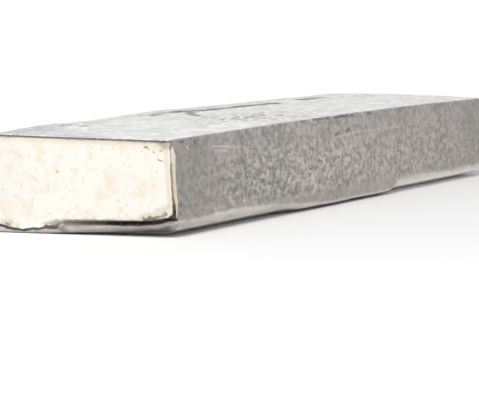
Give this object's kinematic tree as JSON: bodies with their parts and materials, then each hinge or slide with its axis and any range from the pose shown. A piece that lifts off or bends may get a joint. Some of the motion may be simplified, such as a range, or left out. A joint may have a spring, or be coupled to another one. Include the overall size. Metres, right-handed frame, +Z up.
{
  "type": "lead ingot",
  "caption": "Solid cast lead bar with drafted sides, a lip rolled under round its foot, an end face set in a frame of flash and a lapped seam on its upper face, for remelting or ballast.",
  "frame": {"origin": "on the floor under the middle of the bar", "axes": "+X along the bar's length, away from the end face that is set in flash; +Y across its width, towards the lapped edge; +Z up"},
  "size_m": [0.3225, 0.085, 0.0398],
  "materials": {
    "lead": "dull grey cast lead, crystalline on the sides, paler on the upper face and the ends"
  },
  "bodies": {
    "root": {"ingot": "lead"}
  },
  "joints": []
}
